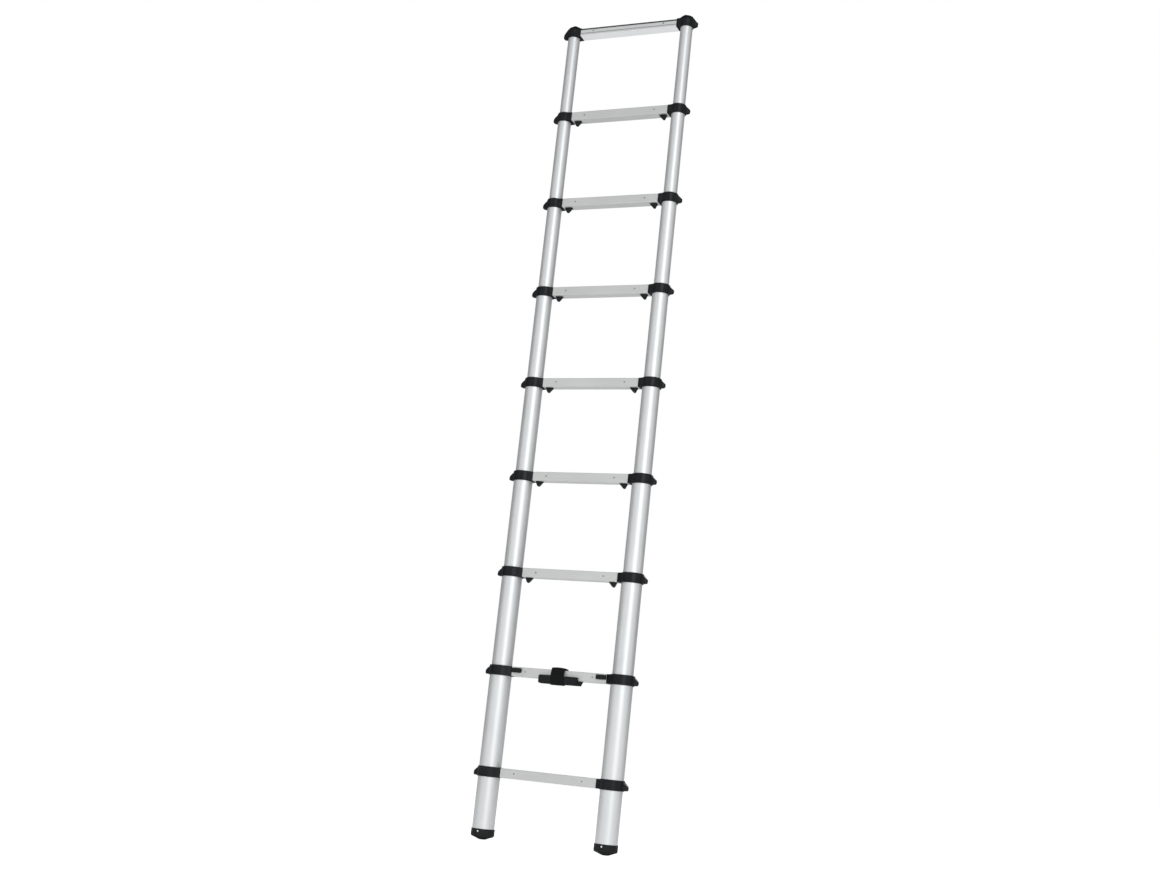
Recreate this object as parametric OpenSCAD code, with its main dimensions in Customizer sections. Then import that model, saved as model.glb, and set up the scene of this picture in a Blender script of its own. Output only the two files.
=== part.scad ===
// Telescopic ladder of aluminium tubes, drawn pulled out to its full height.
// Two rails of eight nested tubes carry nine hollow rungs, held in moulded plastic collars.
// X runs along the rungs, Z up the rails, and -Y is the side that a climber faces.
// The origin is the middle of the left foot's sole, so the left rail's axis is the Z axis.
// Section 1 stands on the ground with rungs 1 and 2, and each further section carries one rung.

/* [Ladder] */
// Distance between the axes of the two rails
rail_spacing = 381; // [360:1:410]
// Distance from one rung to the next when the ladder is pulled out
rung_pitch = 290; // [270:5:300]
// Height of the middle of the lowest rung above the ground
first_rung_z = 190; // [170:5:230]

/* [Tubes] */
// Outer diameter of the lowest pair of tubes
base_tube_d = 64.4; // [62:0.2:68]
// Wall of every tube
tube_wall = 1.5; // [1.2:0.1:1.8]
// Radial gap between a tube and the next one, which slides in it
tube_gap = 0.4; // [0.3:0.05:0.5]
// Length of each tube that stays inside the tube below it
tube_overlap = 80; // [60:5:100]

/* [Rungs] */
// Height of a rung's profile
rung_h = 27; // [26:0.5:30]
// Depth of a rung's profile from front to back
rung_d = 35; // [33:0.5:38]
// Wall of a rung's profile
rung_wall = 1.5; // [1.2:0.1:1.8]
// Radius of a rung's outer corners
rung_corner_r = 2; // [1.5:0.1:2.5]
// Radius of the top rung's two upper edges, where hands hold it
grip_edge_r = 7; // [5:0.5:8]
// Depth of the grip grooves, cut in a tread that is thicker by as much
groove_depth = 0.8; // [0.5:0.1:1]
// Width of a grip groove
groove_w = 2; // [1.5:0.1:2.5]
// Distance from one grip groove to the next
groove_pitch = 4.5; // [4:0.5:6]
// Height of the line that runs along the top rung's front, above its lower edge
front_line_z = 8; // [6:0.5:12]
// Width of that line
front_line_w = 1; // [0.6:0.1:1.5]

/* [Collars] */
// Thickness of a collar's ring round its tube
collar_wall = 3.5; // [3:0.1:4]
// How far a collar stands proud of the rung's profile on every side
collar_ledge = 1; // [0.3:0.1:1.2]
// Thickness of the lip that closes a collar over its tube's end
collar_lip = 3; // [2:0.5:4]
// Gap between a collar and the tube or rung that it is pressed on
fit_gap = 0.1; // [0.05:0.05:0.2]
// Bevel of a collar's outer edges
collar_bevel = 1.2; // [0.8:0.1:1.6]
// Distance from the tube's surface to the rung's end
collar_reach = 10; // [8:0.5:11]
// Distance from the tube's surface to the tip of the outer ear
ear_reach = 18; // [16:0.5:23]
// Radius of the ear's nose, seen from above
ear_nose_r = 8; // [6:0.5:9]
// Radius of the ear's tip, seen from the front
ear_tip_r = 7; // [5:0.5:8]
// Distance of the ear's tip below the middle of the collar
ear_drop = 5; // [0:0.5:6]
// Distance of the ear behind the rail's axis
ear_back = 0; // [0:0.5:6]
// How much wider the ear is where it leaves the ring, on each side
ear_flare = 4; // [2:0.5:6]
// Height of a top cap's dome above the top rung's upper face
dome_h = 12; // [8:0.5:14]

/* [Spigots] */
// Length of the spigot that each collar pushes into the rung
spigot_l = 50; // [48:1:56]
// Length of the solid end of a spigot
spigot_end_l = 16; // [14:0.5:18]
// Wall of a spigot's open part
spigot_wall = 3; // [2.5:0.1:3.5]
// Gap between a spigot and the rung round it
spigot_gap = 0.2; // [0.15:0.05:0.3]

/* [Triggers] */
// Width of a trigger along the rung
trigger_w = 24; // [22:0.5:26]
// Depth of a trigger from front to back
trigger_d = 14; // [12:0.5:15]
// Height of a trigger below its rung
trigger_drop = 15; // [12:0.5:15.5]
// Radius of a trigger's tip
trigger_tip_r = 4; // [3:0.5:5]
// Distance of the tip from the trigger's middle, towards its tube
trigger_tip_x = 2.5; // [0:0.5:4]
// Height of a trigger's straight sides under its rung
trigger_shoulder = 1.5; // [1:0.5:3]
// Distance of a trigger's middle from the surface of its tube
trigger_offset = 27; // [25:0.5:28]
// Distance of a trigger's middle in front of the rung's middle
trigger_front = 1; // [0:0.5:7]
// Gap between a sliding piece and its slot
slot_gap = 0.3; // [0.2:0.05:0.4]
// Rim that keeps a sliding piece in its slot
slot_rim = 1.5; // [1:0.1:1.7]
// Thickness of the plate that keeps a sliding piece in its slot
plate_t = 2; // [1.5:0.1:2.5]

/* [Release slides] */
// Length of a release slide
slide_l = 31.5; // [28:0.5:34]
// Height of a release slide
slide_h = 13.5; // [12:0.5:14]
// Thickness of a release slide in front of its rung
slide_t = 7; // [5:0.5:9]
// Height of a release slide's middle above the rung's middle
slide_z = 3.5; // [3:0.1:3.8]
// How far a release slide moves towards the middle of its rung
slide_travel = 8; // [6:0.5:9]
// Gap between a collar and the release slide beside it
slide_gap = 0.5; // [0.3:0.1:1]
// Length of the slide's lower part, before its thumb pad
slide_low_l = 10.5; // [8:0.5:13]
// How far the thumb pad stands out round the slide's lower part
thumb_step = 1; // [0.5:0.1:1.5]
// Corner radius of the thumb pad
thumb_corner_r = 3; // [2:0.5:4]
// Height of the neck that joins the slide to its plate inside the rung
neck_h = 5; // [4:0.5:5.5]
// Length of the neck
neck_l = 6; // [5:0.5:7]
// Distance from the rung's end to the neck
neck_x = 8; // [7:0.5:9]

/* [Feet] */
// Height of a rubber foot
foot_h = 30; // [26:1:36]
// Thickness of a foot's wall round the tube
foot_wall = 2; // [1.5:0.1:3]
// Rise of the sole from its middle to its edge
sole_rise = 9; // [6:0.5:10]
// Height of the bevel round the sole's edge
sole_edge_h = 1.5; // [1:0.5:3]
// Radius of the flat in the middle of the sole
sole_flat_r = 8; // [6:0.5:9]
// Height of the tube's end above the ground
foot_floor = 14; // [13:0.5:18]
// Width of a tread groove in the sole
tread_w = 3; // [2:0.5:4]
// Depth of a tread groove in the sole
tread_depth = 2.5; // [1.5:0.5:3]
// Distance from one tread groove to the next
tread_pitch = 9.5; // [9:0.5:11]

/* [Carrying strap] */
// Width of the hook-and-loop band round the second rung
band_w = 42; // [36:1:50]
// Thickness of the band
band_t = 1.8; // [1.5:0.1:2.2]
// Height of the slack that the band has above the rung
band_slack = 4; // [2:0.5:5]
// Distance of the band's middle to the right of the rung's middle
band_x = 4; // [0:0.5:8]
// Length of the folded strap that the band holds
bundle_l = 140; // [120:1:160]
// Depth of the folded strap from front to back
bundle_d = 12; // [10:0.5:14]
// Height of the folded strap
bundle_h = 25; // [22:0.5:27]
// Distance of the folded strap's upper edge below the rung's middle
bundle_top = 3; // [2:0.5:4]
// Distance of the folded strap's middle to the right of the rung's middle
bundle_x = 14; // [5:0.5:20]
// How much further the folded strap's lower layer reaches to the right
bundle_step = 17; // [10:0.5:20]
// Height of the folded strap's lower layer
bundle_low_h = 13.5; // [10:0.5:18]
// Slant of the lower layer's cut end
bundle_slant = 6; // [3:0.5:9]
// Size of the folded strap's cut corners
bundle_corner = 4; // [2:0.5:6]
// Gap between the soft pieces and what they lie on
soft_gap = 0.3; // [0.2:0.05:0.4]

/* [Hidden] */
$fn = 96;
corner_fn = 32;
sections = 8;
eps = 0.01;
cut = 1;
join = 1;

mid_x = rail_spacing / 2;
collar_h = rung_h + 2 * collar_ledge;
block_d = rung_d + 2 * collar_ledge;
tread_wall = rung_wall + groove_depth;
rung_front = -rung_d / 2;
rung_floor = -rung_h / 2 + rung_wall;
rung_ceiling = rung_h / 2 - tread_wall;
inner_corner_r = 1;
grip_inner_r = grip_edge_r - rung_wall;
bevel_small = 1;
nose_steps = 10;
dome_steps = 12;
strap_corner_r = 0.5;

aluminium = "#C9CDCE";
rung_grey = "#C2C4C3";
plastic = "#232628";
rubber = "#26292B";
webbing = "#1C1E1F";

// Outer radius of the tubes of section s, which shrink by a wall and a gap each time
function tube_r(s) = base_tube_d / 2 - (s - 1) * (tube_wall + tube_gap);

// Height of the middle of rung k
function rung_z(k) = first_rung_z + (k - 1) * rung_pitch;

// The section that carries rung k: section 1 has two rungs and every other section has one
function section_of(k) = max(1, k - 1);

// Distance from the rail's axis to the end of rung k
function rung_end(k) = tube_r(section_of(k)) + collar_reach;

// Height of a top cap's dome above the rung's middle, at an angle up from the dome's edge
function dome_z(a) = collar_h / 2 - collar_wall + (dome_h + collar_wall) * sin(a);

// Angle, seen from c, at which a line from point p touches a circle of radius r round c
function touch_angle(p, c, r, turn) =
    let (away = p - c)
    atan2(away[1], away[0]) + turn * acos(r / norm(away));

// The point where that line touches the circle
function touch(p, c, r, turn) =
    let (angle = touch_angle(p, c, r, turn))
    c + r * [cos(angle), sin(angle)];

// Outline from point a round the left side of a circle and back to point b, touching it twice
function nose(a, b, c, r) =
    let (start = touch_angle(a, c, r, 1), turn = 360 + touch_angle(b, c, r, -1) - start)
    concat([a], [for (i = [0 : nose_steps]) c + r * [cos(start + turn * i / nose_steps),
        sin(start + turn * i / nose_steps)]], [b]);

// Draws its children at the left rail and their mirror image at the right rail
module at_both_rails() {
    children();
    at_right_rail() children();
}

module at_right_rail() {
    translate([rail_spacing, 0, 0]) mirror([1, 0, 0]) children();
}

// Carries a profile, drawn with Y to the right and Z up, along X from x0 to x1
module along_x(x0, x1) {
    translate([x0, 0, 0]) rotate([90, 0, 90]) linear_extrude(x1 - x0) children();
}

// Carries a profile, drawn with X to the right and Z up, along Y from y0 to y1
module along_y(y0, y1) {
    translate([0, y1, 0]) rotate([90, 0, 0]) linear_extrude(y1 - y0) children();
}

// Rectangle from corner a to corner b with its own corner radius at the top and at the bottom
module rounded(a, b, top_r, bottom_r) {
    for (x = [a[0] + top_r, b[0] - top_r]) translate([x, b[1] - top_r]) circle(top_r, $fn = corner_fn);
    for (x = [a[0] + bottom_r, b[0] - bottom_r])
        translate([x, a[1] + bottom_r]) circle(bottom_r, $fn = corner_fn);
    translate([a[0] + top_r, a[1] + bottom_r]) square([b[0] - a[0] - 2 * top_r, b[1] - a[1] - bottom_r]);
    translate([a[0] + bottom_r, a[1]]) square([b[0] - a[0] - 2 * bottom_r, bottom_r + eps]);
    translate([a[0], a[1] + bottom_r]) square([b[0] - a[0], b[1] - a[1] - top_r - bottom_r]);
}

// Hollow rung profile with a grooved tread on top
module rung_profile(edge_r, hollow_r) {
    half = rung_d / 2;
    flat = rung_d - 2 * edge_r - groove_w;
    grooves = 2 * floor(flat / 2 / groove_pitch) + 1;
    difference() {
        rounded([-half, -rung_h / 2], [half, rung_h / 2], edge_r, rung_corner_r);
        rounded([-half + rung_wall, rung_floor], [half - rung_wall, rung_ceiling], hollow_r, inner_corner_r);
        for (i = [0 : grooves - 1])
            translate([(i - (grooves - 1) / 2) * groove_pitch - groove_w / 2, rung_h / 2 - groove_depth])
                square([groove_w, 2 * groove_depth]);
    }
}

// Window in a rung's floor for a trigger, a little larger than the trigger
module trigger_window(k) {
    width = trigger_w + 2 * slot_gap;
    depth = trigger_d + 2 * slot_gap;
    translate([
        tube_r(section_of(k)) + trigger_offset - width / 2,
        -trigger_front - depth / 2,
        -rung_h / 2 - eps
    ])
        cube([width, depth, rung_wall + 2 * eps]);
}

// Slot in the second rung's front, as long as the neck and its travel
module neck_slot() {
    translate([rung_end(2) + neck_x - slot_gap, rung_front - eps, slide_z - neck_h / 2 - slot_gap])
        cube([neck_l + slide_travel + 2 * slot_gap, rung_wall + 2 * eps, neck_h + 2 * slot_gap]);
}

// Rung k from collar to collar
module rung(k) {
    edge_r = k == 9 ? grip_edge_r : rung_corner_r;
    hollow_r = k == 9 ? grip_inner_r : inner_corner_r;
    color(rung_grey) translate([0, 0, rung_z(k)]) difference() {
        along_x(rung_end(k), rail_spacing - rung_end(k)) rung_profile(edge_r, hollow_r);
        if (k >= 3 && k <= 8) at_both_rails() trigger_window(k);
        if (k == 2) at_both_rails() neck_slot();
        if (k == 9)
            translate([rung_end(k) - cut, rung_front - cut, front_line_z - rung_h / 2])
                cube([rail_spacing, cut + rung_wall / 2, front_line_w]);
    }
}

// The two tubes of section s, from inside the tubes below to the lip of their own collar
module tubes(s) {
    bottom = s == 1 ? foot_floor : rung_z(s) - tube_overlap;
    top = rung_z(s + 1) + collar_h / 2 - collar_lip;
    color(aluminium) at_both_rails() translate([0, 0, bottom]) difference() {
        cylinder(r = tube_r(s), h = top - bottom);
        translate([0, 0, -cut]) cylinder(r = tube_r(s) - tube_wall, h = top - bottom + 2 * cut);
    }
}

// Ring of a collar before it is bored, with bevelled edges
module ring(r) {
    ring_r = r + collar_wall;
    half = collar_h / 2;
    rotate_extrude() polygon([
        [0, -half], [ring_r - collar_bevel, -half], [ring_r, -half + collar_bevel],
        [ring_r, half - collar_bevel], [ring_r - collar_bevel, half], [0, half]
    ]);
}

// Body of a top cap, closed over the tube by a dome whose section is a quarter ellipse
module dome(r) {
    ring_r = r + collar_wall;
    half = collar_h / 2;
    rotate_extrude() polygon(concat(
        [[0, -half], [ring_r - collar_bevel, -half], [ring_r, -half + collar_bevel]],
        [for (i = [0 : dome_steps]) [ring_r * cos(90 * i / dome_steps), dome_z(90 * i / dome_steps)]]
    ));
}

// Block between the ring and the rung, with sides that run straight off the ring
module rung_block(r) {
    corner = [r + collar_reach, block_d / 2];
    side = touch(corner, [0, 0], r + collar_wall / 2, 1);
    translate([0, 0, -collar_h / 2]) linear_extrude(collar_h)
        polygon([[0, 0], side, corner, [corner[0], -corner[1]], [side[0], -side[1]]]);
}

// Ear on the outer side: a tongue seen from above, cut to a nose that slopes down from root_top
module ear(r, root_top) {
    root_y = ear_nose_r + ear_flare;
    above = nose(
        [-r / 2, ear_back + root_y], [-r / 2, ear_back - root_y],
        [-(r + ear_reach - ear_nose_r), ear_back], ear_nose_r
    );
    front = nose(
        [-r, root_top], [-r, -collar_h / 2 + collar_bevel],
        [-(r + ear_reach - ear_tip_r), -ear_drop], ear_tip_r
    );
    intersection() {
        translate([0, 0, -collar_h / 2]) linear_extrude(collar_h + dome_h) polygon(above);
        along_y(-r, r)
            polygon(concat([[-r / 2, front[0][1]]], front, [[-r / 2, front[nose_steps + 2][1]]]));
    }
}

// Spigot that goes into the rung: open in front for the release parts, solid at its end
module spigot(r, top_r) {
    half = rung_d / 2 - rung_wall - spigot_gap;
    low = rung_floor + spigot_gap;
    high = rung_ceiling - spigot_gap;
    start = r + collar_reach;
    intersection() {
        along_x(start - join, start + spigot_l) rounded([-half, low], [half, high], top_r, inner_corner_r);
        union() {
            translate([start - join, half - 2 * spigot_wall, low])
                cube([spigot_l + join, 2 * spigot_wall, high - low]);
            translate([start - join, -half, high - spigot_wall])
                cube([spigot_l + join, 2 * half, spigot_wall]);
            translate([start + spigot_l - spigot_end_l, -half, low])
                cube([spigot_end_l, 2 * half, high - low]);
        }
    }
}

// Bore of a collar: the tube comes up to the lip and the next tube passes through the lip
module collar_bore(r, lip) {
    half = collar_h / 2;
    translate([0, 0, -half - cut]) cylinder(r = r + fit_gap, h = collar_h + cut - lip);
    translate([0, 0, -half - cut]) cylinder(r = r - tube_wall, h = collar_h + 2 * cut);
}

// Collars of rung k: the lowest pair is clamped round the tubes and the others close their ends
module collars(k) {
    r = tube_r(section_of(k));
    color(plastic) at_both_rails() translate([0, 0, rung_z(k)]) {
        difference() {
            union() {
                ring(r);
                rung_block(r);
                ear(r, collar_h / 2 - collar_bevel);
            }
            collar_bore(r, k == 1 ? -cut : collar_lip);
        }
        spigot(r, inner_corner_r);
    }
}

module top_caps() {
    r = tube_r(sections);
    half = collar_h / 2;
    color(plastic) at_both_rails() translate([0, 0, rung_z(sections + 1)]) {
        difference() {
            union() {
                dome(r);
                rung_block(r);
                ear(r, dome_z(acos(r / (r + collar_wall))));
            }
            translate([0, 0, -half - cut]) cylinder(r = r + fit_gap, h = collar_h + cut - collar_lip);
        }
        spigot(r, grip_inner_r);
    }
}

// Trigger seen from the front: a wedge with a rounded tip, drawn round the rung's lower face
module trigger_wedge() {
    tip = [-trigger_tip_x, -trigger_drop + trigger_tip_r];
    outer = [-trigger_w / 2, -trigger_shoulder];
    inner = [trigger_w / 2, -trigger_shoulder];
    neck_top = rung_wall + slot_gap + eps;
    translate(tip) circle(trigger_tip_r, $fn = corner_fn);
    polygon([
        [outer[0], neck_top], outer, touch(outer, tip, trigger_tip_r, 1), tip,
        touch(inner, tip, trigger_tip_r, -1), inner, [inner[0], neck_top]
    ]);
}

// Triggers of rung k, each kept in its window by a rimmed plate inside the rung
module triggers(k) {
    plate_w = trigger_w + 2 * slot_rim;
    plate_d = trigger_d + 2 * (slot_rim - slot_gap);
    color(plastic) at_both_rails()
        translate([tube_r(section_of(k)) + trigger_offset, -trigger_front, rung_z(k) - rung_h / 2]) {
            along_y(-trigger_d / 2, trigger_d / 2) trigger_wedge();
            translate([-plate_w / 2, -plate_d / 2, rung_wall + slot_gap])
                cube([plate_w, plate_d, plate_t]);
        }
}

// Release slide in front of the second rung, with a thumb pad, a neck and a plate inside
module release_slide() {
    plate_h = neck_h + 2 * (slot_rim - slot_gap);
    low_h = slide_h - 2 * thumb_step;
    low_r = thumb_corner_r - thumb_step;
    back = rung_front - slot_gap;
    color(plastic) translate([rung_end(2), 0, rung_z(2) + slide_z]) {
        along_y(back - slide_t + thumb_step, back)
            rounded([slide_gap, -low_h / 2], [slide_l - thumb_step, low_h / 2], low_r, low_r);
        along_y(back - slide_t, back)
            rounded([slide_low_l, -slide_h / 2], [slide_l, slide_h / 2], thumb_corner_r, thumb_corner_r);
        translate([neck_x, back - eps, -neck_h / 2])
            cube([neck_l, rung_wall + 2 * slot_gap + 2 * eps, neck_h]);
        translate([neck_x - 2 * slot_rim, rung_front + rung_wall + slot_gap, -plate_h / 2])
            cube([neck_l + 4 * slot_rim, plate_t, plate_h]);
    }
}

// Rubber foot: a cup round the tube with a sole that rises from its middle and a straight tread
module foot() {
    r = tube_r(1);
    foot_r = r + foot_wall;
    slope = sole_rise / (foot_r - bevel_small - sole_flat_r);
    color(rubber) difference() {
        rotate_extrude() polygon([
            [0, 0], [sole_flat_r, 0], [foot_r - bevel_small, sole_rise], [foot_r, sole_rise + sole_edge_h],
            [foot_r, foot_h - bevel_small], [foot_r - bevel_small, foot_h], [0, foot_h]
        ]);
        translate([0, 0, foot_floor - fit_gap]) cylinder(r = r + fit_gap, h = foot_h);
        for (side = [-1, 1], i = [1 : 3])
            let (y = i * tread_pitch + tread_w / 2)
            translate([-foot_r, side * y - tread_w / 2, -cut])
                cube([2 * foot_r, tread_w, cut + tread_depth + max(0, (y - sole_flat_r) * slope)]);
    }
}

// Outline round the rung and the folded strap, at a distance from both, seen from the side
module band_outline(distance) {
    half = rung_d / 2 - rung_corner_r;
    top = rung_h / 2 - rung_corner_r;
    back = rung_front - soft_gap - strap_corner_r;
    front = rung_front - soft_gap - bundle_d + strap_corner_r;
    strap_low = -bundle_top - bundle_h + strap_corner_r;
    hull() {
        for (y = [-half, half])
            translate([y, top + band_slack]) circle(rung_corner_r + distance, $fn = corner_fn);
        translate([half, -top]) circle(rung_corner_r + distance, $fn = corner_fn);
        for (corner = [[front, -bundle_top - strap_corner_r], [front, strap_low], [back, strap_low]])
            translate(corner) circle(strap_corner_r + distance, $fn = corner_fn);
    }
}

// Hook-and-loop band that holds the folded strap against the second rung
module strap_band() {
    color(webbing) translate([mid_x + band_x, 0, rung_z(2)])
        along_x(-band_w / 2, band_w / 2) difference() {
            band_outline(soft_gap + band_t);
            band_outline(soft_gap);
        }
}

// Folded carrying strap: layers of webbing, the lower ones longer and cut at a slant
module folded_strap() {
    left = -bundle_l / 2;
    right = bundle_l / 2;
    top = -bundle_top;
    bottom = -bundle_top - bundle_h;
    step_x = right - bundle_step;
    step_z = bottom + bundle_low_h;
    back = rung_front - soft_gap;
    color(webbing) translate([mid_x + bundle_x, 0, rung_z(2)]) along_y(back - bundle_d, back) polygon([
        [left + bundle_corner, top], [step_x - bundle_corner, top], [step_x, top - bundle_corner],
        [step_x, step_z], [right, step_z], [right - bundle_slant, bottom],
        [left + bundle_corner, bottom], [left, bottom + bundle_corner], [left, top - bundle_corner]
    ]);
}

foot();  // foot_left
at_right_rail() foot();  // foot_right
tubes(1);  // tubes_1
tubes(2);  // tubes_2
tubes(3);  // tubes_3
tubes(4);  // tubes_4
tubes(5);  // tubes_5
tubes(6);  // tubes_6
tubes(7);  // tubes_7
tubes(8);  // tubes_8
rung(1);  // rung_1
rung(2);  // rung_2
rung(3);  // rung_3
rung(4);  // rung_4
rung(5);  // rung_5
rung(6);  // rung_6
rung(7);  // rung_7
rung(8);  // rung_8
rung(9);  // rung_9
collars(1);  // collars_1
collars(2);  // collars_2
collars(3);  // collars_3
collars(4);  // collars_4
collars(5);  // collars_5
collars(6);  // collars_6
collars(7);  // collars_7
collars(8);  // collars_8
top_caps();
triggers(3);  // triggers_3
triggers(4);  // triggers_4
triggers(5);  // triggers_5
triggers(6);  // triggers_6
triggers(7);  // triggers_7
triggers(8);  // triggers_8
release_slide();  // release_slide_left
at_right_rail() release_slide();  // release_slide_right
strap_band();
folded_strap();
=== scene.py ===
# %% [markdown]
# # A telescopic ladder
#
# This lesson dresses a ladder whose tubes slide into each other. Two rails of eight nested
# aluminium tubes carry nine hollow rungs, and black moulded collars join them. The engineering
# model already holds every size, so the first step loads it as a frame that never moves. The
# steps after it lay surfaces over that frame, worked out as whole numpy arrays, and give each
# one a finish made of shader nodes.

# %% Load the frame
import math

import bpy
import numpy as np
from mathutils import Matrix, Vector


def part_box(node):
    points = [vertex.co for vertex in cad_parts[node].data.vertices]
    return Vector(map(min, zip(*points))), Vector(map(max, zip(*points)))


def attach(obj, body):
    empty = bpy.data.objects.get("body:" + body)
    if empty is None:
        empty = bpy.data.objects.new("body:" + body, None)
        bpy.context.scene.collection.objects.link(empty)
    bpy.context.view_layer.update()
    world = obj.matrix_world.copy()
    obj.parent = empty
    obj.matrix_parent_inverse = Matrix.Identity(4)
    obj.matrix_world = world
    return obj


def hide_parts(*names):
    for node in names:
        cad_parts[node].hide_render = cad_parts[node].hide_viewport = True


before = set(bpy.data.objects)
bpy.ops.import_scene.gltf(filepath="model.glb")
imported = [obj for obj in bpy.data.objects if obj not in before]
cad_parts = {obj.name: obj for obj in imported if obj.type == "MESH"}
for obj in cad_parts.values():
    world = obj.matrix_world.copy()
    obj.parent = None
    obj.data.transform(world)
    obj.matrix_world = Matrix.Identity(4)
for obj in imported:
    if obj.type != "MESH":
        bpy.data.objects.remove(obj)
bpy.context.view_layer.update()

# %% [markdown]
# ## Sizes that come from the frame
#
# A piece that covers a node has to lie where the node is. Typing its size again would let the two
# drift apart, so radii, heights and places are read from the boxes of the nodes. Sizes that the
# model doesn't have, such as the depth of a fine rib, are named in millimetres where they are used.

# %% Read the main sizes
MM = 0.001
TURN = 2 * math.pi
SLIDE_GAP = 0.4 * MM
BLOCK_LAP = 0.4 * MM
BORE_GAP = 0.1 * MM


def low(node, axis):
    """The lowest value of a node's box along an axis, in metres."""
    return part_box(node)[0][axis]


def high(node, axis):
    """The highest value of a node's box along an axis, in metres."""
    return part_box(node)[1][axis]


def middle(node, axis):
    """The middle of a node's box along an axis, in metres."""
    return (low(node, axis) + high(node, axis)) / 2


X, Y, Z = 0, 1, 2
SECTIONS = range(1, 9)
RUNGS = range(1, 10)
LEFT, RIGHT = 0.0, middle("foot_right", X)
MID_X = (LEFT + RIGHT) / 2
TUBE_R = {s: -low(f"tubes_{s}", X) for s in SECTIONS}
TUBE_WALL = TUBE_R[1] - TUBE_R[2] - SLIDE_GAP
RUNG_Z = {k: middle(f"rung_{k}", Z) for k in RUNGS}
RUNG_H = high("rung_1", Z) - low("rung_1", Z)
RUNG_D = high("rung_1", Y) - low("rung_1", Y)
COLLAR_H = high("collars_1", Z) - low("collars_1", Z)
RING_WALL = -low("collars_1", Y) - TUBE_R[1]
BLOCK_HALF = RUNG_D / 2 + BLOCK_LAP
print("tube radii in mm:", {s: round(r / MM, 1) for s, r in TUBE_R.items()})


def section_of(rung):
    """The section that carries a rung: the lowest one has two rungs, the others one each."""
    return max(1, rung - 1)


def body_of(section):
    """The name of a section's moving body: the lowest section is the base."""
    return "base" if section == 1 else f"section_{section}"


# %% [markdown]
# ## The camera
#
# The photograph was taken from low down and a little to the right, so the rungs above eye level
# show their undersides. The place, the turn and the lens below come from solving where rungs and
# rails fall in the picture. The three direction vectors are the columns of the camera's matrix.

# %% Place the camera
LENS_MM = 47.51
SENSOR_MM = 36.0
CAMERA_SHIFT = -0.00095
CAMERA_PLACE = (MID_X + 1.7951, -4.0706, 0.2170)
CAMERA_RIGHT = (0.9173, 0.3841, 0.1050)
CAMERA_UP = (-0.0114, -0.2381, 0.9712)
CAMERA_FORWARD = (-0.3981, 0.8920, 0.2140)
LADDER_MIDDLE = (MID_X, 0, 1.3)

camera_data = bpy.data.cameras.new("camera")
camera_data.lens = LENS_MM
camera_data.sensor_width = SENSOR_MM
camera_data.shift_y = CAMERA_SHIFT
camera = bpy.data.objects.new("camera", camera_data)
bpy.context.scene.collection.objects.link(camera)
columns = np.array([CAMERA_RIGHT, CAMERA_UP, [-c for c in CAMERA_FORWARD], CAMERA_PLACE]).T
camera.matrix_world = Matrix([list(row) for row in columns] + [[0, 0, 0, 1]])
bpy.context.scene.camera = camera
print("camera is", round(math.dist(CAMERA_PLACE, LADDER_MIDDLE), 2), "m away")

# %% [markdown]
# ## Turning arrays into meshes
#
# Nearly every piece is a row of closed rings joined like the hoops of a barrel. An array of shape
# (rings, points, 3) holds them, and the corner numbers of all the faces between them are worked
# out at once. A ladder tube has a wall, so its rings also join from the last back to the first.
# Other pieces end in a cap, which is a fan of triangles round the middle of the end ring.

# %% Mesh helpers
SHARP_ANGLE = math.radians(40)


def quads(rings, points, join_ends):
    """Corner grid numbers of each face between neighbouring rings, unwrapped, as (faces, 4, 2)."""
    i = np.arange(rings if join_ends else rings - 1)[:, None]
    j = np.arange(points)[None, :]
    corners = [(i, j), (i, j + 1), (i + 1, j + 1), (i + 1, j)]
    grid = np.stack([np.stack(np.broadcast_arrays(a, b), -1) for a, b in corners], 2)
    return grid.reshape(-1, 4, 2)


def volume(points, faces):
    """Signed volume of a closed mesh, as a sum of tetrahedra from the origin."""
    total = 0.0
    for k in range(1, faces.shape[1] - 1):
        a, b, c = points[faces[:, 0]], points[faces[:, k]], points[faces[:, k + 1]]
        total += np.einsum("ij,ij->i", a, np.cross(b, c)).sum() / 6
    return total


def solid(rings, join_ends=False, uv_size=None):
    """One closed solid from rings: its points, its quads, its cap triangles and the quads' UVs."""
    n, m, _ = rings.shape
    points = rings.reshape(-1, 3)
    grid = quads(n, m, join_ends)
    faces = (grid[..., 0] % n) * m + grid[..., 1] % m
    caps = np.empty((0, 3), int)
    if not join_ends:
        j = np.arange(m)
        ends = np.stack([rings[0].mean(0), rings[-1].mean(0)])
        points = np.concatenate([points, ends])
        first = np.stack([(j + 1) % m, j, np.full(m, n * m)], 1)
        last = np.stack([(n - 1) * m + j, (n - 1) * m + (j + 1) % m, np.full(m, n * m + 1)], 1)
        caps = np.concatenate([first, last])
    centred = points - points.mean(0)
    if volume(centred, faces) + (volume(centred, caps) if len(caps) else 0) < 0:
        faces, caps, grid = faces[:, ::-1], caps[:, ::-1], grid[:, ::-1]
    uv = grid / np.array([n, m]) * (uv_size or (1, 1))
    return points, faces, caps, uv


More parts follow.
